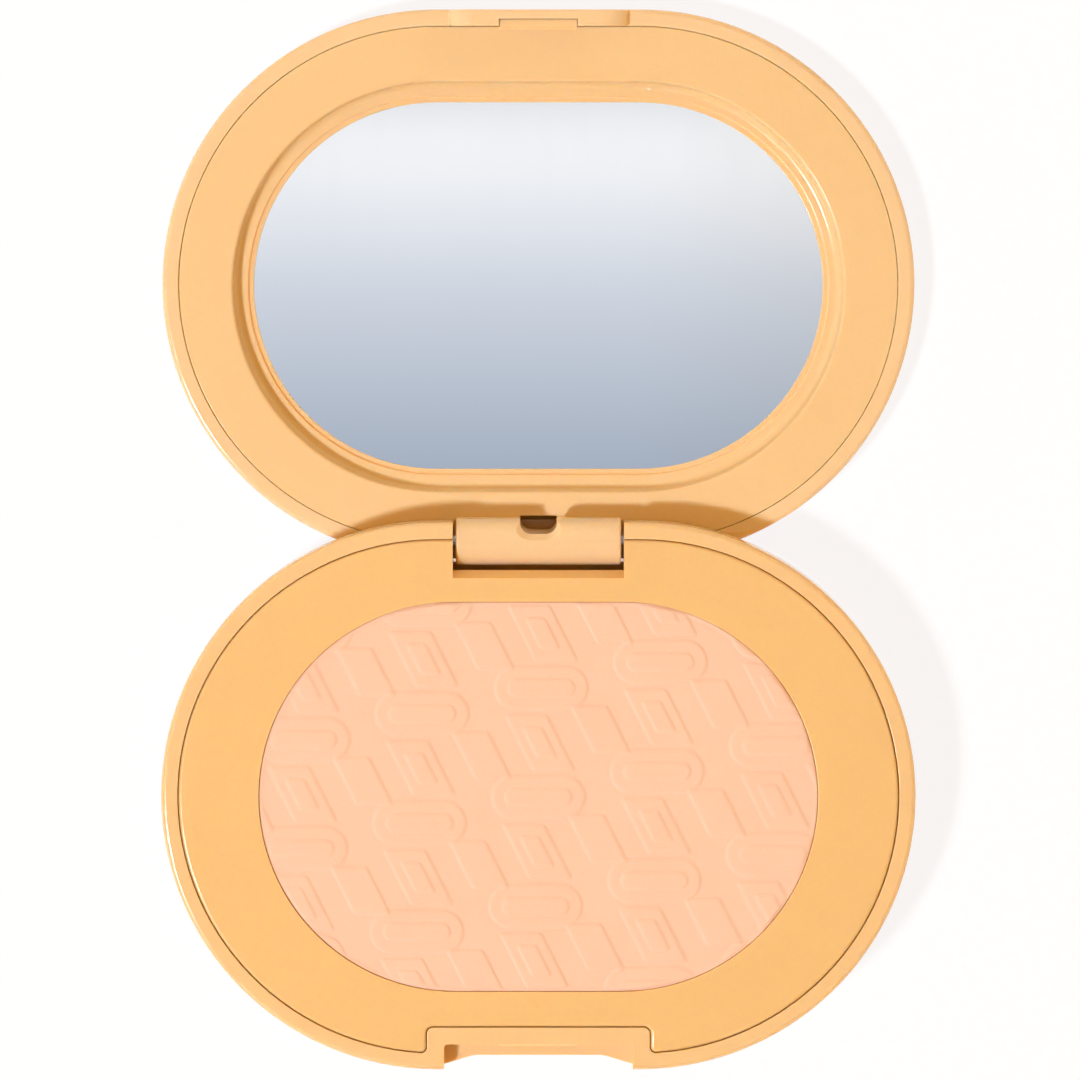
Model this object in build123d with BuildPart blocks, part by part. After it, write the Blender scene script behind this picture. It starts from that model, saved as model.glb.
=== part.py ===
from build123d import *
from math import atan, degrees, hypot, sqrt
import os

# Powder compact: a base that holds pressed powder, a lid that holds a mirror, and a pin hinge.
# Millimetres, +Z up. The origin is the centre of the base's flat foot, and -Y is the front.
# The lid is swung open by half a turn: it lies behind the base on the same surface, mirror up.

# Outline of base and lid: a stadium, two half circles joined by straight sides
WIDTH = 80.0
DEPTH = 58.4
END_R = DEPTH / 2
STRAIGHT = (WIDTH - DEPTH) / 2

# Heights, and the hinge axis that follows from them
BASE_H = 11.6
LID_H = 5.05
CLOSED_GAP = 0.15
PIN_Y = 27.0
PIN_Z = (BASE_H + CLOSED_GAP + LID_H) / 2
LID_Y = 2 * PIN_Y

# Shells: an upright side from the rim to the shoulder, then a quarter ellipse into a flat
BASE_SHOULDER = 8.6
BASE_EDGE_RUN = 8.0
BASE_FLOOR = 1.4
LID_SHOULDER = 3.85
LID_EDGE_RUN = 7.0
LID_FLOOR = 1.0
RIM_ROUND = 0.5
EDGE_BREAK = 0.25
RIM_BAND = 1.75
WALL = 2.3
LEDGE = WALL - RIM_BAND
SEAM = 0.08
FINE_SEAM = 0.05
FINE_BREAK = 0.1

# How far a cutter runs past the face that it cuts
OVERRUN = 1.0

# Hinge: two ears of the base, one knuckle of the lid
PIN_R = 0.6
PIN_LENGTH = 28.0
KNUCKLE_R = 2.5
KNUCKLE_HALF = 8.75
KNUCKLE_BACK = 2.45
KNUCKLE_CORNER = 1.6
BORE_R = 0.65
SIDE_GAP = 0.3
POCKET_HALF = KNUCKLE_HALF + SIDE_GAP
POCKET_Y = PIN_Y - KNUCKLE_R - 0.45
POCKET_RAMP_Y = POCKET_Y - 0.75
POCKET_UNDERCUT = 0.5
EAR_HALF = 15.8
EAR_Y = POCKET_Y - POCKET_UNDERCUT - 1.2
NECK_FRONT = LID_Y - END_R
NECK_BACK = PIN_Y + 1.8
SWING_GAP = 0.2
RELIEF_GAP = 0.35
RELIEF_TOP = LID_H + 0.3
RELIEF_WALL = 1.2
SPINDLE_STEPS = 6
SPINDLE_PAST_RIM = 0.6

# Knuckle notch
NOTCH_W = 3.9
NOTCH_Y = PIN_Y + 0.9
NOTCH_R = 1.2
NOTCH_CHAMFER = 0.65
NOTCH_FLOOR = 2.2

# Latch: the lid's tongue drops into a gap in the base's front rim
GAP_HALF = 10.05
GAP_Y = -26.45
GAP_FLOOR = 8.5
CORNER_R = 0.4
JOG_HALF = 11.85
JOG_Y = GAP_Y + 1.8
JOG_R = 0.65
SCOOP_DEPTH = 1.1
SCOOP_FLAT = 6.9
SCOOP_HALF = 10.5
SCOOP_R = 4.0
TONGUE_HALF = 9.5
TONGUE_REACH = 2.3
TONGUE_R = 2.5
TAB_HALF = 4.1
TAB_T = 0.7
TAB_GAP = 0.07
TAB_DROP = 0.3
FOOT_BACK = 0.7
BARB = 0.3
BARB_DROP = 0.7
RIDGE = 0.2
RIDGE_DROP = 0.8

# Deck, pan and powder
DECK_T = 1.5
DECK_ROUND = 0.35
DECK_LIP = 0.8
GATE_MARK_R = 0.4
GATE_MARK_DEPTH = 0.06
GATE_MARK_Y = -22.1
DECK_SKIRT = 2.6
SKIRT_T = 1.1
OPENING = (59.3, 41.6)
PAN = (60.1, 42.4)
PAN_T = 0.35
PAN_H = 4.2
PAN_GAP = 0.05
PAN_PLAY = 0.1
PAN_CORNER = 0.8
PAN_PAD_T = 0.25
POWDER_BELOW_DECK = 0.1
SUPPORT = (50.0, 32.3)
SUPPORT_T = 1.2

# Mirror and liner
LINER_T = 1.4
RECESS_Y = LID_Y - 0.2
RECESS = (65.1, 43.7)
RECESS_DEPTH = 2.15
RECESS_SLOPE = 0.35
RECESS_FOOT = 0.7
TUB_T = 1.1
WINDOW = (60.7, 39.1)
LIP_STEP = 0.55
LIP_T = 0.25
LIP_ROUND = 0.2
MIRROR = (62.6, 41.0)
MIRROR_T = 1.0
MIRROR_GAP = 0.2
TAPE = (57.0, 35.2)
TAPE_T = 0.3

# Label on the foot
LABEL = (51.6, 29.6)
LABEL_T = 0.12
LABEL_RECESS = 0.15

DECK_Z = BASE_H - DECK_T
PAN_TOP = BASE_H - DECK_LIP - PAN_GAP
PAN_Z = PAN_TOP - PAN_H
LINER_Z = LID_H - LINER_T
MIRROR_TOP = LID_FLOOR + TAPE_T + MIRROR_T
HINGE = Plane(origin=(0, PIN_Y, PIN_Z), x_dir=(0, 1, 0), z_dir=(1, 0, 0))


def level(z, y=0.0):
    """Horizontal plane at height z, with its origin at y on the middle line."""
    return Plane(origin=(0, y, z))


def stadium(inset):
    """The compact's outline, moved in by inset."""
    SlotOverall(WIDTH - 2 * inset, DEPTH - 2 * inset)


def block(x_half, y_from, y_to, mode=Mode.ADD):
    """Rectangle across the middle line, from one y to another."""
    with Locations((0, (y_from + y_to) / 2)):
        Rectangle(2 * x_half, y_to - y_from, mode=mode)


def bowl(y, inset, top, shoulder, floor, edge_run, rim_round):
    """Stadium solid with an upright side, an elliptical lower edge and a flat bottom."""
    radius = END_R - inset
    flat_end = radius - edge_run
    side = Plane(origin=(0, y, 0), x_dir=(0, 1, 0), z_dir=(1, 0, 0))
    with BuildPart() as solid:
        for x in (0, STRAIGHT):
            with BuildSketch(side.offset(x)) as half:
                with BuildLine():
                    Polyline((radius, shoulder), (radius, top), (0, top), (0, floor), (flat_end, floor))
                    EllipticalCenterArc(
                        center=(flat_end, shoulder),
                        x_radius=edge_run,
                        y_radius=shoulder - floor,
                        start_angle=270,
                        arc_size=90,
                    )
                make_face()
                if rim_round:
                    fillet(half.vertices().group_by(Axis.X)[-1].sort_by(Axis.Y)[-1], rim_round)
            if x == 0:
                extrude(amount=STRAIGHT)
            else:
                revolve(axis=Axis((x, y, 0), (0, 0, -1)), revolution_arc=90)
        mirror(about=Plane(origin=(0, y, 0), z_dir=(0, 1, 0)))
        mirror(about=Plane.YZ)
    return solid.part


def deck_outline(inset):
    """Stadium with a step round the latch gap at the front, moved in by inset."""
    with BuildSketch() as outline:
        stadium(RIM_BAND)
        block(JOG_HALF, -END_R, JOG_Y, mode=Mode.SUBTRACT)
        corners = outline.vertices().filter_by(lambda v: abs(abs(v.X) - JOG_HALF) < 0.01)
        fillet(corners, JOG_R)
        if inset:
            offset(amount=-inset, kind=Kind.ARC, mode=Mode.REPLACE)
    return outline.sketch


def top_rim(solid):
    """The inner edges of a solid's topmost face."""
    return solid.faces().sort_by(Axis.Z)[-1].inner_wires()[0].edges()


def notch_outline(z, back):
    """The knuckle notch's outline at height z, as far back as a given y."""
    with BuildSketch(level(z)) as notch:
        block(NOTCH_W / 2, NOTCH_Y, back)
        fillet(notch.vertices().group_by(Axis.Y)[0], NOTCH_R)
    return notch.sketch


def rim_reach(x):
    """How far the base's rounded rear rim reaches from the hinge axis at a given x."""
    beyond = max(abs(x) - STRAIGHT, 0.0)
    edge_y = sqrt(END_R**2 - beyond**2)
    return hypot(edge_y - PIN_Y - RIM_ROUND, BASE_H - PIN_Z - RIM_ROUND) + RIM_ROUND


# Room that the base's rear rim needs as the lid swings round it: a spindle about the hinge axis
spindle_run = sqrt(END_R**2 - PIN_Y**2) + SPINDLE_PAST_RIM
spindle_end = STRAIGHT + spindle_run
spindle_xs = [STRAIGHT + spindle_run * i / SPINDLE_STEPS for i in range(SPINDLE_STEPS + 1)]
spindle_points = [(x, rim_reach(x) + SWING_GAP) for x in spindle_xs]
with BuildPart() as swing_room:
    with BuildSketch(level(0)):
        with BuildLine():
            Line((0, spindle_points[0][1]), spindle_points[0])
            Spline(*spindle_points)
            Polyline(spindle_points[-1], (spindle_end, 0), (0, 0), (0, spindle_points[0][1]))
        make_face()
    revolve(axis=Axis.X)
    mirror(about=Plane.YZ)
swing_room_part = swing_room.part.moved(Location((0, PIN_Y, PIN_Z)))

# Hollow of the base, left solid round the ears, the latch gap and the relief for the lid
with BuildPart() as base_hollow:
    add(bowl(0, WALL, DECK_Z + OVERRUN, BASE_SHOULDER, BASE_FLOOR, BASE_EDGE_RUN - WALL, 0))
    with BuildSketch(level(0)):
        block(EAR_HALF, EAR_Y, END_R)
    extrude(amount=BASE_H, mode=Mode.SUBTRACT)
    with BuildSketch(level(GAP_FLOOR - BASE_FLOOR)) as gap_wall:
        block(JOG_HALF + LEDGE, -END_R, JOG_Y + LEDGE)
        fillet(gap_wall.vertices().group_by(Axis.Y)[-1], JOG_R + LEDGE)
    extrude(amount=BASE_H, mode=Mode.SUBTRACT)
    with BuildSketch(level(0, LID_Y)):
        stadium(-RELIEF_GAP - RELIEF_WALL)
    extrude(amount=RELIEF_TOP + RELIEF_WALL, mode=Mode.SUBTRACT)

with BuildPart() as base_shell:
    add(bowl(0, 0, BASE_H, BASE_SHOULDER, 0, BASE_EDGE_RUN, RIM_ROUND))
    # Seat of the deck
    with BuildSketch(level(DECK_Z)):
        add(deck_outline(0))
    extrude(amount=DECK_T, mode=Mode.SUBTRACT)
    fillet(top_rim(base_shell), FINE_BREAK)
    add(base_hollow.part, mode=Mode.SUBTRACT)
    # Room under the rear rim for the open lid
    with BuildSketch(level(-OVERRUN, LID_Y)):
        stadium(-RELIEF_GAP)
    extrude(amount=RELIEF_TOP + OVERRUN, mode=Mode.SUBTRACT)
    # Hinge pocket between the ears, open at the back
    with BuildSketch(level(RELIEF_TOP - OVERRUN)):
        block(POCKET_HALF, POCKET_Y - POCKET_UNDERCUT, END_R + OVERRUN)
    extrude(amount=BASE_H, mode=Mode.SUBTRACT)
    with BuildSketch(HINGE):
        Circle(PIN_R)
    extrude(amount=WIDTH / 2, both=True, mode=Mode.SUBTRACT)
    # Latch gap, and the finger scoop below it
    with BuildSketch(level(GAP_FLOOR)) as gap:
        block(GAP_HALF, -END_R - OVERRUN, GAP_Y)
        fillet(gap.vertices().group_by(Axis.Y)[-1], CORNER_R)
    extrude(amount=BASE_H, mode=Mode.SUBTRACT)
    with BuildSketch(level(0)) as scoop:
        with BuildLine():
            Polyline(
                (-SCOOP_HALF, -END_R - OVERRUN),
                (-SCOOP_HALF, -END_R),
                (-SCOOP_FLAT, SCOOP_DEPTH - END_R),
                (SCOOP_FLAT, SCOOP_DEPTH - END_R),
                (SCOOP_HALF, -END_R),
                (SCOOP_HALF, -END_R - OVERRUN),
                close=True,
            )
        make_face()
        fillet(scoop.vertices().group_by(Axis.Y)[-1], SCOOP_R)
    extrude(amount=GAP_FLOOR, mode=Mode.SUBTRACT)
    # Catch ridge on the gap's inner wall
    with BuildSketch(Plane.YZ):
        with Locations((GAP_Y, BASE_H - RIDGE_DROP)):
            Rectangle(2 * RIDGE, 2 * RIDGE, rotation=45)
    extrude(amount=TAB_HALF, both=True)
    # Walls that hold the pan up
    with BuildSketch(level(BASE_FLOOR)):
        SlotOverall(*SUPPORT)
        SlotOverall(SUPPORT[0] - 2 * SUPPORT_T, SUPPORT[1] - 2 * SUPPORT_T, mode=Mode.SUBTRACT)
        with Locations((-STRAIGHT, 0), (STRAIGHT, 0)):
            Rectangle(SUPPORT_T, SUPPORT[1] - SUPPORT_T)
    extrude(amount=PAN_Z - PAN_PAD_T - BASE_FLOOR)
    with BuildSketch(level(0)):
        SlotOverall(LABEL[0] + 2 * SEAM, LABEL[1] + 2 * SEAM)
    extrude(amount=LABEL_RECESS, mode=Mode.SUBTRACT)
base_shell.part.label = "base_shell"

with BuildPart() as base_deck:
    with BuildSketch(level(DECK_Z)):
        add(deck_outline(SEAM))
    extrude(amount=DECK_T)
    fillet(base_deck.faces().sort_by(Axis.Z)[-1].edges(), DECK_ROUND)
    with BuildSketch(level(DECK_Z)):
        SlotOverall(*OPENING)
    extrude(amount=DECK_T, mode=Mode.SUBTRACT)
    fillet(top_rim(base_deck), FINE_BREAK)
    with BuildSketch(level(DECK_Z)):
        SlotOverall(PAN[0] + 2 * PAN_PLAY, PAN[1] + 2 * PAN_PLAY)
    extrude(amount=DECK_T - DECK_LIP, mode=Mode.SUBTRACT)
    # Skirt that drops into the shell
    with BuildSketch(level(DECK_Z - DECK_SKIRT)):
        add(deck_outline(LEDGE + SEAM))
        add(deck_outline(LEDGE + SEAM + SKIRT_T), mode=Mode.SUBTRACT)
    extrude(amount=DECK_SKIRT)
    with BuildSketch(level(0)):
        block(EAR_HALF + SEAM, EAR_Y - SEAM, END_R)
    extrude(amount=DECK_Z, mode=Mode.SUBTRACT)
    # Cut-out over the hinge pocket, with a ramp at its front
    with BuildSketch(Plane.YZ):
        with BuildLine():
            Polyline(
                (POCKET_RAMP_Y, BASE_H),
                (POCKET_Y, DECK_Z),
                (END_R, DECK_Z),
                (END_R, BASE_H),
                close=True,
            )
        make_face()
    extrude(amount=POCKET_HALF, both=True, mode=Mode.SUBTRACT)
    # Faint mark of the moulding gate in front of the powder
    with BuildSketch(level(BASE_H - GATE_MARK_DEPTH, GATE_MARK_Y)):
        Circle(GATE_MARK_R)
    extrude(amount=GATE_MARK_DEPTH, mode=Mode.SUBTRACT)
base_deck.part.label = "base_deck"

with BuildPart() as powder_pan:
    with BuildSketch(level(PAN_Z)):
        SlotOverall(*PAN)
    extrude(amount=PAN_H)
    fillet(powder_pan.faces().sort_by(Axis.Z)[0].edges(), PAN_CORNER)
    offset(amount=-PAN_T, openings=powder_pan.faces().sort_by(Axis.Z)[-1])
powder_pan.part.label = "powder_pan"

with BuildPart() as powder_cake:
    with BuildSketch(level(PAN_Z + PAN_T)):
        SlotOverall(PAN[0] - 2 * PAN_T, PAN[1] - 2 * PAN_T)
    extrude(amount=PAN_H - PAN_T)
    fillet(powder_cake.faces().sort_by(Axis.Z)[0].edges(), PAN_CORNER - PAN_T)
    with BuildSketch(level(PAN_TOP)):
        SlotOverall(OPENING[0] - 2 * PAN_GAP, OPENING[1] - 2 * PAN_GAP)
    extrude(amount=BASE_H - POWDER_BELOW_DECK - PAN_TOP)
powder_cake.part.label = "powder_cake"

with BuildPart() as pan_adhesive:
    with BuildSketch(level(PAN_Z - PAN_PAD_T)):
        SlotOverall(*SUPPORT)
    extrude(amount=PAN_PAD_T)
pan_adhesive.part.label = "pan_adhesive"

with BuildPart() as hinge_pin:
    with BuildSketch(HINGE):
        Circle(PIN_R)
    extrude(amount=PIN_LENGTH / 2, both=True)
    chamfer(hinge_pin.edges().filter_by(GeomType.CIRCLE), FINE_BREAK)
hinge_pin.part.label = "hinge_pin"

with BuildPart() as base_label:
    with BuildSketch(level(LABEL_RECESS - LABEL_T)):
        SlotOverall(*LABEL)
    extrude(amount=LABEL_T)
base_label.part.label = "base_label"

# Hollow of the lid, left solid where the neck stands
with BuildPart() as lid_hollow:
    add(bowl(LID_Y, WALL, LINER_Z + OVERRUN, LID_SHOULDER, LID_FLOOR, LID_EDGE_RUN - WALL, 0))
    with BuildSketch(level(0)):
        block(KNUCKLE_HALF + WALL, NECK_FRONT, NECK_BACK)
    extrude(amount=LID_H, mode=Mode.SUBTRACT)

# Knuckle: round in front, nearly flat on top behind the pin
with BuildPart() as knuckle:
    with BuildSketch(HINGE) as profile:
        Circle(KNUCKLE_R)
        with Locations((KNUCKLE_BACK / 2, KNUCKLE_R / 2)):
            Rectangle(KNUCKLE_BACK, KNUCKLE_R)
        fillet(profile.vertices().sort_by(lambda v: v.X + v.Y)[-1], KNUCKLE_CORNER)
    extrude(amount=KNUCKLE_HALF, both=True)
    fillet(knuckle.faces().filter_by(Axis.X).edges(), EDGE_BREAK)

with BuildPart() as tongue:
    with BuildSketch(Plane(origin=(0, LID_Y + END_R, 0), x_dir=(-1, 0, 0), z_dir=(0, 1, 0))) as face:
        block(TONGUE_HALF, LID_SHOULDER, LID_H + TONGUE_REACH)
        fillet(face.vertices().group_by(Axis.Y)[-1], TONGUE_R)
    extrude(amount=-RIM_BAND)
    long_edges = tongue.edges().filter_by(Axis.X).group_by(Axis.Z)[-1]
    round_edges = tongue.edges().filter_by(GeomType.CIRCLE)
    fillet(long_edges + round_edges, EDGE_BREAK)

with BuildPart() as lid_shell:
    add(bowl(LID_Y, 0, LID_H, LID_SHOULDER, 0, LID_EDGE_RUN, RIM_ROUND))
    # Seat of the liner
    with BuildSketch(level(LINER_Z, LID_Y)):
        stadium(RIM_BAND)
    extrude(amount=LINER_T, mode=Mode.SUBTRACT)
    fillet(top_rim(lid_shell), FINE_BREAK)
    add(lid_hollow.part, mode=Mode.SUBTRACT)
    add(swing_room_part, mode=Mode.SUBTRACT)
    # Tongue at the front, slotted for the liner's latch tab
    add(tongue.part)
    with BuildSketch(level(LINER_Z, LID_Y)):
        block(TAB_HALF + TAB_GAP, END_R - RIM_BAND - OVERRUN, END_R - RIM_BAND + TAB_T + TAB_GAP)
    extrude(amount=LID_H + TONGUE_REACH, mode=Mode.SUBTRACT)
    # Neck and knuckle, bored for the pin
    with BuildSketch(level(LID_SHOULDER)):
        block(KNUCKLE_HALF, NECK_FRONT, NECK_BACK)
    extrude(amount=PIN_Z - LID_SHOULDER)
    add(knuckle.part)
    with BuildSketch(HINGE):
        Circle(BORE_R)
    extrude(amount=KNUCKLE_HALF, both=True, mode=Mode.SUBTRACT)
    # Notch through the back of the knuckle, with a slot below it and a sloped edge
    extrude(notch_outline(LID_H, END_R + OVERRUN), amount=BASE_H, mode=Mode.SUBTRACT)
    extrude(notch_outline(NOTCH_FLOOR, PIN_Y + KNUCKLE_BACK), amount=LID_H, mode=Mode.SUBTRACT)
    with BuildSketch(level(PIN_Z + KNUCKLE_R)) as notch_edge:
        block(NOTCH_W / 2 + NOTCH_CHAMFER, NOTCH_Y - NOTCH_CHAMFER, END_R + OVERRUN)
        fillet(notch_edge.vertices().group_by(Axis.Y)[0], NOTCH_R + NOTCH_CHAMFER)
    extrude(amount=-NOTCH_CHAMFER, taper=45, mode=Mode.SUBTRACT)
lid_shell.part.label = "lid_shell"

with BuildPart() as lid_liner:
    with BuildSketch(level(LINER_Z, LID_Y)):
        stadium(RIM_BAND + FINE_SEAM)
    extrude(amount=LINER_T)
    fillet(lid_liner.faces().sort_by(Axis.Z)[-1].edges(), FINE_BREAK)
    # Tub below the plate, and the recess inside it: a steep wall with a rounded foot
    with BuildSketch(level(MIRROR_TOP, RECESS_Y)):
        SlotOverall(RECESS[0] + 2 * TUB_T, RECESS[1] + 2 * TUB_T)
    extrude(amount=LINER_Z - MIRROR_TOP)
    with BuildSketch(level(LID_H, RECESS_Y)):
        SlotOverall(*RECESS)
    extrude(amount=-RECESS_DEPTH, taper=degrees(atan(RECESS_SLOPE / RECESS_DEPTH)), mode=Mode.SUBTRACT)
    fillet(lid_liner.edges(Select.LAST).group_by(Axis.Z)[0], RECESS_FOOT)
    fillet(top_rim(lid_liner), EDGE_BREAK)
    # Stepped lip round the window that shows the mirror: each step's inner edge is rounded
    for step, height, edge_round in ((LIP_STEP, LIP_T, LIP_ROUND), (0, 0, FINE_BREAK)):
        with BuildSketch(level(MIRROR_TOP + height, RECESS_Y)):
            SlotOverall(WINDOW[0] + 2 * step, WINDOW[1] + 2 * step)
        extrude(amount=LID_H, mode=Mode.SUBTRACT)
        fillet(lid_liner.edges(Select.LAST).group_by(Axis.Z)[-1], edge_round)
    # Wall that locates the mirror
    with BuildSketch(level(LID_FLOOR + SEAM, RECESS_Y)):
        SlotOverall(MIRROR[0] + 2 * (MIRROR_GAP + SUPPORT_T), MIRROR[1] + 2 * (MIRROR_GAP + SUPPORT_T))
        SlotOverall(MIRROR[0] + 2 * MIRROR_GAP, MIRROR[1] + 2 * MIRROR_GAP, mode=Mode.SUBTRACT)
    extrude(amount=MIRROR_TOP - LID_FLOOR - SEAM)
    add(swing_room_part, mode=Mode.SUBTRACT)
    with BuildSketch(level(LID_FLOOR)):
        block(KNUCKLE_HALF + SEAM, NECK_FRONT, NECK_BACK + SEAM)
    extrude(amount=LID_H, mode=Mode.SUBTRACT)
    extrude(notch_outline(NOTCH_FLOOR, PIN_Y + KNUCKLE_BACK), amount=LID_H, mode=Mode.SUBTRACT)
    # Latch tab that stands in the tongue's slot, with a small barb
    with BuildSketch(level(LINER_Z, LID_Y)):
        block(TAB_HALF, END_R - RIM_BAND - FOOT_BACK, END_R - RIM_BAND + TAB_T)
    extrude(amount=LINER_T)
    with BuildSketch(level(LINER_Z, LID_Y)):
        block(TAB_HALF, END_R - RIM_BAND, END_R - RIM_BAND + TAB_T)
    extrude(amount=LINER_T + TONGUE_REACH - TAB_DROP)
    with BuildSketch(Plane.YZ):
        with Locations((LID_Y + END_R - RIM_BAND, LID_H + TONGUE_REACH - TAB_DROP - BARB_DROP)):
            Rectangle(2 * BARB, 2 * BARB, rotation=45)
    extrude(amount=TAB_HALF, both=True)
lid_liner.part.label = "lid_liner"

with BuildPart() as mirror_glass:
    with BuildSketch(level(MIRROR_TOP - MIRROR_T, RECESS_Y)):
        SlotOverall(*MIRROR)
    extrude(amount=MIRROR_T)
mirror_glass.part.label = "mirror_glass"

with BuildPart() as mirror_tape:
    with BuildSketch(level(LID_FLOOR, RECESS_Y)):
        SlotOverall(*TAPE)
    extrude(amount=TAPE_T)
mirror_tape.part.label = "mirror_tape"

os.makedirs("parts", exist_ok=True)
for piece in (
    base_shell,
    base_deck,
    powder_pan,
    powder_cake,
    pan_adhesive,
    hinge_pin,
    base_label,
    lid_shell,
    lid_liner,
    mirror_glass,
    mirror_tape,
):
    export_step(piece.part, f"parts/{piece.part.label}.step")
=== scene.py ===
import math

import bpy
import numpy as np
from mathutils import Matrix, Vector, noise


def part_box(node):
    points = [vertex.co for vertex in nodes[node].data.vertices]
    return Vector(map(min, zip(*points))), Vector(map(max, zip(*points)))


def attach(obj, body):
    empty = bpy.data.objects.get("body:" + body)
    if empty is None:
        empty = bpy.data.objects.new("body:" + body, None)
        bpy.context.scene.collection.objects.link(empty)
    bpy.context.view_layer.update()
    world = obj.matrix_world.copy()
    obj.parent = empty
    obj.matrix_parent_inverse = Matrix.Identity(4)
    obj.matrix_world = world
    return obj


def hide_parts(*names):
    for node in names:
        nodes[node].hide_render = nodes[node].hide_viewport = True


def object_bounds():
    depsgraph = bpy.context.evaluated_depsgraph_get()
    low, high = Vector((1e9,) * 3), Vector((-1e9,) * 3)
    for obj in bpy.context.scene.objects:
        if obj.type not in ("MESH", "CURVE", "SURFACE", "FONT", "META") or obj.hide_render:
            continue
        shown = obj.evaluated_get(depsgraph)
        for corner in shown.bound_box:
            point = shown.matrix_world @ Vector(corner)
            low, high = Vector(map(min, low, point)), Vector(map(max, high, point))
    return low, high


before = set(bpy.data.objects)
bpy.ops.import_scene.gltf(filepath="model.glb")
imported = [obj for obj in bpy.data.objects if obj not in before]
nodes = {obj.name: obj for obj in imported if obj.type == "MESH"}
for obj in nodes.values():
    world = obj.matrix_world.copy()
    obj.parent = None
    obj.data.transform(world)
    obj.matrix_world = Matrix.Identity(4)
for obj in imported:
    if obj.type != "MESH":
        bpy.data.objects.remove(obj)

# A powder compact lying open on a pale floor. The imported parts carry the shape; this script gives
# them their materials, and replaces the plain powder cake by one with a pressed relief.
MM = 0.001
cad_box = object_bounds()


# ---------------------------------------------------------------- node helpers


def new_material(name):
    """A Principled material, with its node tree and shader."""
    material = bpy.data.materials.new(name)
    material.use_nodes = True
    return material, material.node_tree, material.node_tree.nodes["Principled BSDF"]


def set_inputs(tree, node, inputs):
    """Sets (socket, value) pairs, where a value is a number, a colour or another node's output."""
    for socket, value in inputs:
        if isinstance(value, bpy.types.NodeSocket):
            tree.links.new(value, node.inputs[socket])
        else:
            node.inputs[socket].default_value = value


def add_node(tree, kind, inputs=(), **properties):
    """Adds a node with its properties and its inputs."""
    node = tree.nodes.new(kind)
    for name, value in properties.items():
        setattr(node, name, value)
    set_inputs(tree, node, inputs)
    return node


def place(tree, stretch=(1, 1, 1)):
    """The point on the piece in its own frame, in metres, scaled by stretch."""
    point = add_node(tree, "ShaderNodeTexCoord").outputs["Object"]
    inputs = [(0, point), (1, stretch)]
    return add_node(tree, "ShaderNodeVectorMath", inputs, operation="MULTIPLY").outputs[0]


def grain(tree, size, detail=2.0, roughness=0.5, stretch=(1, 1, 1)):
    """Noise from 0 to 1 whose features are about size metres wide."""
    inputs = [("Vector", place(tree, stretch)), ("Scale", 1 / size)]
    inputs += [("Detail", detail), ("Roughness", roughness)]
    return add_node(tree, "ShaderNodeTexNoise", inputs).outputs[0]


def cells(tree, size):
    """Distance to the nearest of many scattered points that are about size metres apart."""
    inputs = [("Vector", place(tree)), ("Scale", 1 / size)]
    return add_node(tree, "ShaderNodeTexVoronoi", inputs).outputs["Distance"]


def spread(tree, value, low, high, from_low=0.25, from_high=0.75):
    """Maps a value from one range to another, held within it. Noise lies mostly in 0.25 to 0.75."""
    inputs = [("Value", value), ("From Min", from_low), ("From Max", from_high)]
    inputs += [("To Min", low), ("To Max", high)]
    return add_node(tree, "ShaderNodeMapRange", inputs).outputs[0]


def math_node(tree, operation, first, second):
    """The result of an operation on two values."""
    inputs = [(0, first), (1, second)]
    return add_node(tree, "ShaderNodeMath", inputs, operation=operation).outputs[0]


def mix_colour(tree, factor, first, second, blend_type="MIX"):
    """Blends two colours. The mix node's colours are its inputs 6 and 7 and its output 2."""
    inputs = [("Factor", factor), (6, first), (7, second)]
    mix = add_node(tree, "ShaderNodeMix", inputs, data_type="RGBA", blend_type=blend_type)
    return mix.outputs[2]


def scale_colour(tree, colour, value):
    """The colour, multiplied by one value."""
    grey = add_node(tree, "ShaderNodeCombineXYZ", [(0, value), (1, value), (2, value)]).outputs[0]
    return mix_colour(tree, 1.0, colour, grey, "MULTIPLY")


def bump(tree, height, distance, normal=None):
    """A normal that is bent by a height from 0 to 1, where 1 stands for distance metres."""
    inputs = [("Height", height), ("Distance", distance)]
    if normal is not None:
        inputs.append(("Normal", normal))
    return add_node(tree, "ShaderNodeBump", inputs).outputs[0]


def edge_mask(tree, radius):
    """1 on edges, 0 on open faces: how far the bevelled normal leans from the true one."""
    bevelled = add_node(tree, "ShaderNodeBevel", [("Radius", radius)], samples=4).outputs[0]
    true = add_node(tree, "ShaderNodeNewGeometry").outputs["Normal"]
    inputs = [(0, bevelled), (1, true)]
    dot = add_node(tree, "ShaderNodeVectorMath", inputs, operation="DOT_PRODUCT").outputs["Value"]
    return spread(tree, dot, 1.0, 0.0, from_low=0.9, from_high=0.998)


def shifted(tone, factor, lift=0.0):
    """The tone scaled and raised, at most 1, with full alpha."""
    return tuple(min(1.0, c * factor + lift) for c in tone[:3]) + (1.0,)


def linear(red, green, blue):
    """A linear colour from 8-bit sRGB values."""
    channels = [c / 255 for c in (red, green, blue)]
    decoded = [c / 12.92 if c <= 0.04045 else ((c + 0.055) / 1.055) ** 2.4 for c in channels]
    return (*decoded, 1.0)


# ---------------------------------------------------------------- materials

# How the plastic's edges differ: their share of the paler tone, which is partly wear and partly a
# painted highlight, and their roughness where they are rubbed
EDGE_WEAR_AND_SHEEN_SHARE = 0.5
WORN_ROUGHNESS = -0.06


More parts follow.
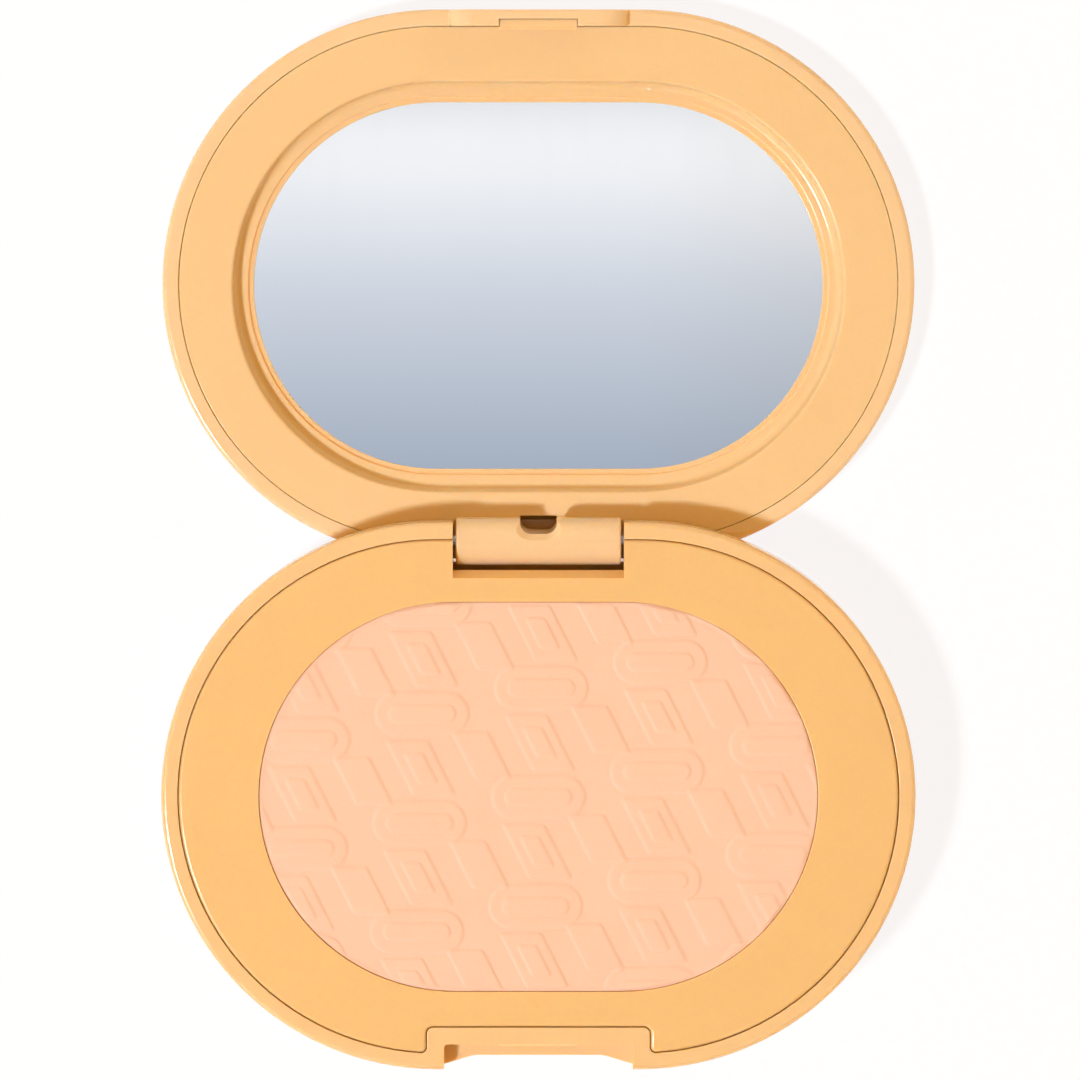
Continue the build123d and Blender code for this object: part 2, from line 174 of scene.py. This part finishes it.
def moulded_plastic(name, tone, roughness):
    """Satin moulded plastic: faint clouding, spark-eroded grain, and edges a little paler, partly
    from rubbing and partly as a painted highlight.
    """
    material, tree, shader = new_material(name)
    clouds = spread(tree, grain(tree, 22 * MM, detail=3.0), 0.0, 1.0)
    flecks = spread(tree, grain(tree, 0.28 * MM, detail=3.0, roughness=0.7), 0.985, 1.015)
    wear_and_sheen_edges = edge_mask(tree, 0.18 * MM)
    # The paler tone along the edges is partly wear and partly a painted highlight on them
    wear_and_sheen_tone = shifted(tone, 1.04, lift=0.015)
    colour = mix_colour(tree, clouds, tone, shifted(tone, 0.975))
    colour = scale_colour(tree, colour, flecks)
    colour = mix_colour(tree, math_node(tree, "MULTIPLY", wear_and_sheen_edges, EDGE_WEAR_AND_SHEEN_SHARE), colour, wear_and_sheen_tone)

    patches = grain(tree, 9 * MM, detail=4.0, roughness=0.6)
    uneven = spread(tree, patches, roughness - 0.025, roughness + 0.03)
    rubbed = math_node(tree, "MULTIPLY", wear_and_sheen_edges, WORN_ROUGHNESS)
    fine = bump(tree, grain(tree, 0.14 * MM, roughness=0.6), 0.004 * MM)
    slow = bump(tree, grain(tree, 5 * MM), 0.006 * MM, normal=fine)

    shader.subsurface_method = "BURLEY"
    set_inputs(tree, shader, (
        ("Base Color", colour),
        ("Roughness", math_node(tree, "ADD", uneven, rubbed)),
        ("Normal", slow),
        ("IOR", 1.46),
        ("Subsurface Weight", 1.0),
        ("Subsurface Radius", (1.0, 0.4, 0.1)),
        ("Subsurface Scale", 0.6 * MM),
    ))
    return material


def pressed_powder():
    """Matte pressed powder: fine pigment specks, a velvety scatter and a dusty, grainy face."""
    material, tree, shader = new_material("pressed_powder")
    tone = (0.88, 0.595, 0.505, 1.0)
    warm = (0.87, 0.57, 0.48, 1.0)
    pigment = (0.80, 0.42, 0.24, 1.0)
    pigment_strength = 0.10
    drifts = spread(tree, grain(tree, 7 * MM, detail=4.0, roughness=0.6), 0.0, 1.0)
    dust = spread(tree, grain(tree, 0.22 * MM, detail=4.0, roughness=0.75), 0.97, 1.03)
    specks = spread(tree, cells(tree, 0.9 * MM), 1.0, 0.0, from_low=0.05, from_high=0.11)
    colour = scale_colour(tree, mix_colour(tree, drifts, tone, warm), dust)
    share = math_node(tree, "MULTIPLY", specks, pigment_strength)
    colour = mix_colour(tree, share, colour, pigment)

    fine = bump(tree, grain(tree, 0.12 * MM, detail=3.0, roughness=0.7), 0.012 * MM)
    coarse_grain = grain(tree, 0.7 * MM, detail=3.0, roughness=0.6)
    set_inputs(tree, shader, (
        ("Base Color", colour),
        ("Roughness", spread(tree, grain(tree, 0.3 * MM), 0.86, 0.98)),
        ("Normal", bump(tree, coarse_grain, 0.02 * MM, normal=fine)),
        ("Specular IOR Level", 0.2),
        ("Sheen Weight", 0.06),
        ("Sheen Roughness", 0.5),
        ("Subsurface Weight", 0.25),
        ("Subsurface Radius", (1.0, 0.5, 0.3)),
        ("Subsurface Scale", 0.4 * MM),
    ))
    return material


def silvered_glass():
    """Mirror: nearly perfect, with the faintest haze where it has been wiped."""
    material, tree, shader = new_material("silvered_glass")
    clear = (0.93, 0.95, 0.965, 1.0)
    hazy = (0.915, 0.935, 0.955, 1.0)
    haze = grain(tree, 12 * MM, detail=5.0, roughness=0.65, stretch=(1.0, 0.3, 1.0))
    set_inputs(tree, shader, (
        ("Base Color", mix_colour(tree, spread(tree, haze, 0.0, 1.0), clear, hazy)),
        ("Roughness", spread(tree, haze, 0.012, 0.05)),
        ("Normal", bump(tree, grain(tree, 18 * MM, detail=1.0), 0.001 * MM)),
        ("Metallic", 1.0),
    ))
    return material


def drawn_metal(name, tone, smoothest, roughest, stretch):
    """Bright metal with fine lines along the way that it was drawn."""
    material, tree, shader = new_material(name)
    lines = grain(tree, 0.12 * MM, detail=3.0, roughness=0.6, stretch=stretch)
    darker = shifted(tone, 0.82)
    set_inputs(tree, shader, (
        ("Base Color", mix_colour(tree, spread(tree, lines, 0.0, 1.0), tone, darker)),
        ("Roughness", spread(tree, lines, smoothest, roughest)),
        ("Normal", bump(tree, lines, 0.004 * MM)),
        ("Metallic", 1.0),
    ))
    return material


def foam_tape():
    """White adhesive foam with an open-celled texture, and painted shade in the pits of its cells.
    """
    material, tree, shader = new_material("foam_tape")
    # The pits of the cells are painted darker than their walls: painted shade
    shaded_hollow = (0.70, 0.69, 0.66, 1.0)
    wall = (0.86, 0.855, 0.83, 1.0)
    foam = cells(tree, 0.2 * MM)
    set_inputs(tree, shader, (
        ("Base Color", mix_colour(tree, foam, shaded_hollow, wall)),
        ("Roughness", spread(tree, foam, 0.95, 0.7, from_low=0.0, from_high=1.0)),
        ("Normal", bump(tree, foam, 0.03 * MM)),
    ))
    return material


def blank_label():
    """Coated paper: soft fibres under a thin film, slightly yellowed in patches."""
    material, tree, shader = new_material("blank_label")
    fresh = (0.88, 0.865, 0.83, 1.0)
    yellowed = (0.86, 0.835, 0.785, 1.0)
    fibres = grain(tree, 0.35 * MM, detail=4.0, roughness=0.65, stretch=(1.0, 0.25, 1.0))
    aged = spread(tree, grain(tree, 14 * MM, detail=3.0), 0.0, 1.0)
    colour = mix_colour(tree, aged, fresh, yellowed)
    set_inputs(tree, shader, (
        ("Base Color", scale_colour(tree, colour, spread(tree, fibres, 0.97, 1.02))),
        ("Roughness", spread(tree, fibres, 0.42, 0.62)),
        ("Normal", bump(tree, fibres, 0.008 * MM)),
    ))
    return material


def studio_paper():
    """Nearly white floor that is lit from within as well, so that shadows on it stay light."""
    material, tree, shader = new_material("studio_paper")
    dark = (0.15, 0.15, 0.15, 1.0)
    light = (0.17, 0.17, 0.17, 1.0)
    tooth = grain(tree, 1.5 * MM, detail=4.0, roughness=0.6)
    set_inputs(tree, shader, (
        ("Base Color", mix_colour(tree, spread(tree, tooth, 0.0, 1.0), dark, light)),
        ("Normal", bump(tree, tooth, 0.02 * MM)),
        ("Roughness", 0.9),
        ("Specular IOR Level", 0.1),
        ("Emission Color", (0.985, 0.99, 1.02, 1.0)),
        ("Emission Strength", 0.84),
    ))
    return material


def dress(name, material):
    """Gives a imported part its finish."""
    slots = nodes[name].material_slots
    for slot in slots:
        slot.material = material
    if not slots:
        nodes[name].data.materials.append(material)


# The base, the deck, the lid and its liner are moulded apart, and differ a little in tone
CASE_TONE = (0.84, 0.555, 0.295, 1.0)
DECK_TONE = (0.825, 0.525, 0.24, 1.0)
LID_TONE = (0.85, 0.595, 0.365, 1.0)
LINER_TONE = (0.835, 0.57, 0.315, 1.0)
ALUMINIUM = (0.86, 0.86, 0.87, 1.0)
STEEL = (0.62, 0.61, 0.60, 1.0)

tape = foam_tape()
for node_name, finish in (
    ("base_shell", moulded_plastic("case_plastic", CASE_TONE, roughness=0.16)),
    ("base_deck", moulded_plastic("deck_plastic", DECK_TONE, roughness=0.18)),
    ("lid_shell", moulded_plastic("lid_plastic", LID_TONE, roughness=0.16)),
    ("lid_liner", moulded_plastic("liner_plastic", LINER_TONE, roughness=0.18)),
    ("powder_pan", drawn_metal("pan_aluminium", ALUMINIUM, 0.22, 0.36, stretch=(0.05, 1, 1))),
    ("hinge_pin", drawn_metal("pin_steel", STEEL, 0.2, 0.34, stretch=(0.03, 1, 1))),
    ("mirror_glass", silvered_glass()),
    ("pan_adhesive", tape),
    ("mirror_tape", tape),
    ("base_label", blank_label()),
):
    dress(node_name, finish)


# ---------------------------------------------------------------- powder cake with its relief

# The relief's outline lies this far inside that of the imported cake
FACE_INSET = 0.1 * MM

# Grid of the face, and how far its rows crowd towards the front and back edges
FACE_COLUMNS = 372
FACE_ROWS = 262
ROW_CROWDING = 0.35

# The lengths below, up to powder_face, are in millimetres.
# Height and width of the relief's steps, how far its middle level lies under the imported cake's
# face, and the limits between which it's kept
STEP_HEIGHT = 0.15
STEP_WIDTH = 0.34
LEVEL_DEPTH = 0.06
RELIEF_LOW, RELIEF_HIGH = -0.2, 0.14

# The face drops at its border, over a run whose width wanders by up to a share of itself
EDGE_DROP = 0.10
EDGE_RUN = 0.45
WANDER_SHARE = 0.5
WANDER_PER_MM = 0.9
WANDER_LAYER = 3.0

# Pattern lattice, and where the motifs stand in each of its cells
ALONG = np.array((12.6, 2.75))
ACROSS = np.array((-0.3, -11.65))
FIRST = np.array((0.0, 0.0))
SECOND = np.array((6.3, -4.45))
THIRD = np.array((-0.15, -5.83))
LATTICE_REACH = 5
TILE_LEAN = 0.5
TILE_CORNER = 0.3


def smooth_step(t):
    """0 below 0, 1 above 1, and a smooth rise between."""
    t = np.clip(t, 0.0, 1.0)
    return t * t * (3 - 2 * t)


def box_distance(x, y, half_x, half_y, corner):
    """Signed distance to a rectangle with rounded corners, centred on the origin."""
    over_x = np.abs(x) - half_x + corner
    over_y = np.abs(y) - half_y + corner
    outside = np.hypot(np.maximum(over_x, 0), np.maximum(over_y, 0))
    return outside + np.minimum(np.maximum(over_x, over_y), 0) - corner


def stadium(x, y, half_x, half_y):
    """Signed distance to a stadium that lies along x."""
    return box_distance(x, y, half_x, half_y, half_y)


def leaning_tile(x, y, half_x, half_y):
    """About the signed distance to a parallelogram whose sides lean over."""
    sheared = box_distance(x + TILE_LEAN * y, y, half_x, half_y, TILE_CORNER)
    return sheared / math.hypot(1.0, TILE_LEAN * 0.5)


# Each motif's distance function, its place in the cell and half its width and height
MOTIFS = (
    (stadium, FIRST, (4.9, 2.3)),
    (stadium, FIRST, (3.5, 0.9)),
    (leaning_tile, SECOND, (1.9, 2.5)),
    (leaning_tile, THIRD, (2.2, 2.9)),
    (leaning_tile, THIRD, (1.0, 1.6)),
)


def relief(x, y):
    """Height of the pressed pattern: rows of two-step stadiums between rows of leaning tiles."""
    height = np.zeros_like(x)
    for i in range(-LATTICE_REACH, LATTICE_REACH + 1):
        for j in range(-LATTICE_REACH, LATTICE_REACH + 1):
            for distance_to, offset, half_sizes in MOTIFS:
                middle_x, middle_y = i * ALONG + j * ACROSS + offset
                distance = distance_to(x - middle_x, y - middle_y, *half_sizes)
                height += STEP_HEIGHT * smooth_step(0.5 - distance / STEP_WIDTH)
    return height


def edge_wander(x, y):
    """Slow noise from about -1 to 1 at every point of the grid."""
    points = zip(x.ravel() * WANDER_PER_MM, y.ravel() * WANDER_PER_MM)
    values = [noise.noise(Vector((a, b, WANDER_LAYER))) for a, b in points]
    return np.array(values).reshape(x.shape)


def powder_face():
    """Coordinates of the face's grid, which fills a stadium, and the height of the cake's foot."""
    low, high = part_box("powder_cake")
    centre_y = (low.y + high.y) / 2
    radius = ((high.y - low.y) / 2 - FACE_INSET) / MM
    straight = (high.x - low.x) / 2 / MM - FACE_INSET / MM - radius
    columns = np.linspace(-1, 1, FACE_COLUMNS + 1)
    rows = np.linspace(-1, 1, FACE_ROWS + 1)
    rows = np.sin(rows * math.pi / 2) * ROW_CROWDING + rows * (1 - ROW_CROWDING)
    u, v = np.meshgrid(columns, rows)
    y = v * radius
    x = u * (straight + np.sqrt(np.maximum(radius**2 - y**2, 0)))
    inside = radius - np.hypot(np.maximum(np.abs(x) - straight, 0), y)

    height = relief(x, y)
    height -= height.max() / 2
    border = smooth_step(inside / (EDGE_RUN * (1 + WANDER_SHARE * edge_wander(x, y))))
    height = height * border - EDGE_DROP * (1 - border) ** 2
    z = high.z / MM - LEVEL_DEPTH + np.clip(height, RELIEF_LOW, RELIEF_HIGH)
    return x, y + centre_y / MM, z, low.z / MM


def grid_faces(rows, columns):
    """Corner indices of the grid's quads, counter-clockwise from above."""
    index = np.arange(rows * columns).reshape(rows, columns)
    corners = (index[:-1, :-1], index[:-1, 1:], index[1:, 1:], index[1:, :-1])
    return np.stack([c.ravel() for c in corners], axis=1)


def border_loop(rows, columns):
    """Indices of the grid's border, counter-clockwise from above."""
    index = np.arange(rows * columns).reshape(rows, columns)
    return np.concatenate((index[0, :-1], index[:-1, -1], index[-1, :0:-1], index[:0:-1, 0]))


def build_powder():
    """The cake as a closed solid: its pressed face, an upright side and a flat bottom."""
    x, y, z, bottom = powder_face()
    rows, columns = x.shape
    top = np.stack((x.ravel(), y.ravel(), z.ravel()), axis=1)
    loop = border_loop(rows, columns)
    foot = top[loop].copy()
    foot[:, 2] = bottom
    points = np.concatenate((top, foot)) * MM
    count = len(loop)
    below = np.arange(count) + len(top)
    following = np.roll(np.arange(count), -1)
    faces = grid_faces(rows, columns).tolist()
    faces += np.stack((loop, below, below[following], loop[following]), axis=1).tolist()
    faces.append(below[::-1].tolist())
    mesh = bpy.data.meshes.new("pressed_powder")
    mesh.from_pydata(points.tolist(), [], faces)
    mesh.shade_smooth()
    piece = bpy.data.objects.new("pressed_powder", mesh)
    bpy.context.scene.collection.objects.link(piece)
    mesh.materials.append(pressed_powder())
    return piece


powder = build_powder()
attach(powder, "base")
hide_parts("powder_cake")


# ---------------------------------------------------------------- floor, light and camera

FLOOR_HALF = 6.0
FLOOR_DROP = 0.02 * MM

# What the camera and the mirror see of the surround: it shades from front to back between two
# slopes y / z of the direction, and turns warmer to the right between two slopes x / z. Directions
# lower than LEAST_Z count as that high, so that the slopes stay finite
BACKDROP_FRONT, BACKDROP_BACK = -0.09, 0.01
BACKDROP_STOPS = (
    (0.0, linear(150, 160, 179)),
    (0.16, linear(168, 178, 194)),
    (0.32, linear(190, 198, 211)),
    (0.5, linear(218, 222, 231)),
    (0.62, linear(242, 243, 246)),
    (0.71, linear(254, 253, 254)),
    (0.77, linear(243, 243, 245)),
    (0.82, linear(221, 223, 226)),
    (1.0, linear(208, 211, 212)),
)
WARM_FROM, WARM_TO = 0.015, 0.06
WARM_TINT = (0.93, 0.90, 0.86, 1.0)
LEAST_Z = 0.05

# The fill light that everything else gets: it turns from one colour to the other between two
# heights z of the direction
FILL_LOW, FILL_HIGH = 0.05, 0.45
FILL_AROUND = (1.1, 0.95, 0.60, 1.0)
FILL_OVERHEAD = (0.58, 0.32, 0.0, 1.0)

CAMERA_TILT = math.radians(4.83)
CAMERA_DISTANCE = 0.634
VIEW_WIDTH = 114.02 * MM
AIM_RIGHT = 0.17 * MM
AIM_BACK = 0.38 * MM
SENSOR = 36.0

centre = (cad_box[0] + cad_box[1]) / 2


def build_floor():
    """A wide square just under the compact."""
    signs = ((-1, -1), (1, -1), (1, 1), (-1, 1))
    mesh = bpy.data.meshes.new("floor")
    mesh.from_pydata([(x * FLOOR_HALF, y * FLOOR_HALF, 0) for x, y in signs], [], [(0, 1, 2, 3)])
    mesh.materials.append(studio_paper())
    floor = bpy.data.objects.new("floor", mesh)
    floor.location.z = -FLOOR_DROP
    bpy.context.scene.collection.objects.link(floor)


def build_light(name, size, energy, colour, direction, distance, glossy=True):
    """A rectangular softbox that faces the compact from a direction."""
    data = bpy.data.lights.new(name, "AREA")
    data.shape = "RECTANGLE"
    data.size, data.size_y = size
    data.energy = energy
    data.color = colour
    light = bpy.data.objects.new(name, data)
    light.visible_glossy = glossy
    bpy.context.scene.collection.objects.link(light)
    light.location = centre + Vector(direction).normalized() * distance
    light.rotation_euler = (light.location - centre).to_track_quat("Z", "Y").to_euler()


def build_lights():
    """A small cool key high up at the front left, and two low strips, far left and back right."""
    build_light(
        "key", size=(0.15, 0.15), energy=17.6, colour=(0.775, 0.90, 1.0),
        direction=(-0.42, -0.245, 0.874), distance=1.5,
    )
    build_light(
        "left_strip", size=(0.5, 0.05), energy=1.4, colour=(1.0, 1.0, 1.0),
        direction=(-0.93, 0.25, 0.28), distance=1.2, glossy=False,
    )
    build_light(
        "back_strip", size=(0.5, 0.08), energy=1.8, colour=(1.0, 0.92, 0.75),
        direction=(0.6, 0.65, 0.3), distance=1.2, glossy=False,
    )


def build_world():
    """The backdrop that the camera and the mirror see, and a low fill light for everything else."""
    world = bpy.data.worlds.new("studio")
    bpy.context.scene.world = world
    world.use_nodes = True
    tree = world.node_tree
    direction = add_node(tree, "ShaderNodeTexCoord").outputs["Generated"]
    axes = add_node(tree, "ShaderNodeSeparateXYZ", [(0, direction)]).outputs
    upward = math_node(tree, "MAXIMUM", axes[2], LEAST_Z)

    lean = math_node(tree, "DIVIDE", axes[1], upward)
    back = spread(tree, lean, 0.0, 1.0, from_low=BACKDROP_FRONT, from_high=BACKDROP_BACK)
    ramp = add_node(tree, "ShaderNodeValToRGB", [(0, back)])
    ramp.color_ramp.interpolation = "B_SPLINE"
    elements = ramp.color_ramp.elements
    elements[0].position, elements[0].color = BACKDROP_STOPS[0]
    elements[1].position, elements[1].color = BACKDROP_STOPS[-1]
    for position, colour in BACKDROP_STOPS[1:-1]:
        elements.new(position).color = colour

    across = math_node(tree, "DIVIDE", axes[0], upward)
    right = spread(tree, across, 0.0, 1.0, from_low=WARM_FROM, from_high=WARM_TO)
    backdrop = mix_colour(tree, right, ramp.outputs[0], WARM_TINT, "MULTIPLY")

    overhead = spread(tree, axes[2], 0.0, 1.0, from_low=FILL_LOW, from_high=FILL_HIGH)
    fill = mix_colour(tree, overhead, FILL_AROUND, FILL_OVERHEAD)
    path = add_node(tree, "ShaderNodeLightPath").outputs
    seen = math_node(tree, "MAXIMUM", path["Is Camera Ray"], path["Is Glossy Ray"])
    surround = mix_colour(tree, seen, fill, backdrop)
    set_inputs(tree, tree.nodes["Background"], [("Color", surround)])


def build_camera():
    """Nearly straight above the hinge, leaning back a little over the lid."""
    data = bpy.data.cameras.new("camera")
    data.sensor_width = SENSOR
    data.lens = SENSOR * CAMERA_DISTANCE / VIEW_WIDTH
    camera = bpy.data.objects.new("camera", data)
    bpy.context.scene.collection.objects.link(camera)
    aim = Vector((AIM_RIGHT, centre.y + AIM_BACK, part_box("base_shell")[1].z))
    back = Vector((0, math.sin(CAMERA_TILT), math.cos(CAMERA_TILT)))
    camera.location = aim + back * CAMERA_DISTANCE
    camera.rotation_euler = (-CAMERA_TILT, 0, 0)
    bpy.context.scene.camera = camera


build_floor()
build_lights()
build_world()
build_camera()
bpy.context.scene.view_settings.view_transform = "Standard"
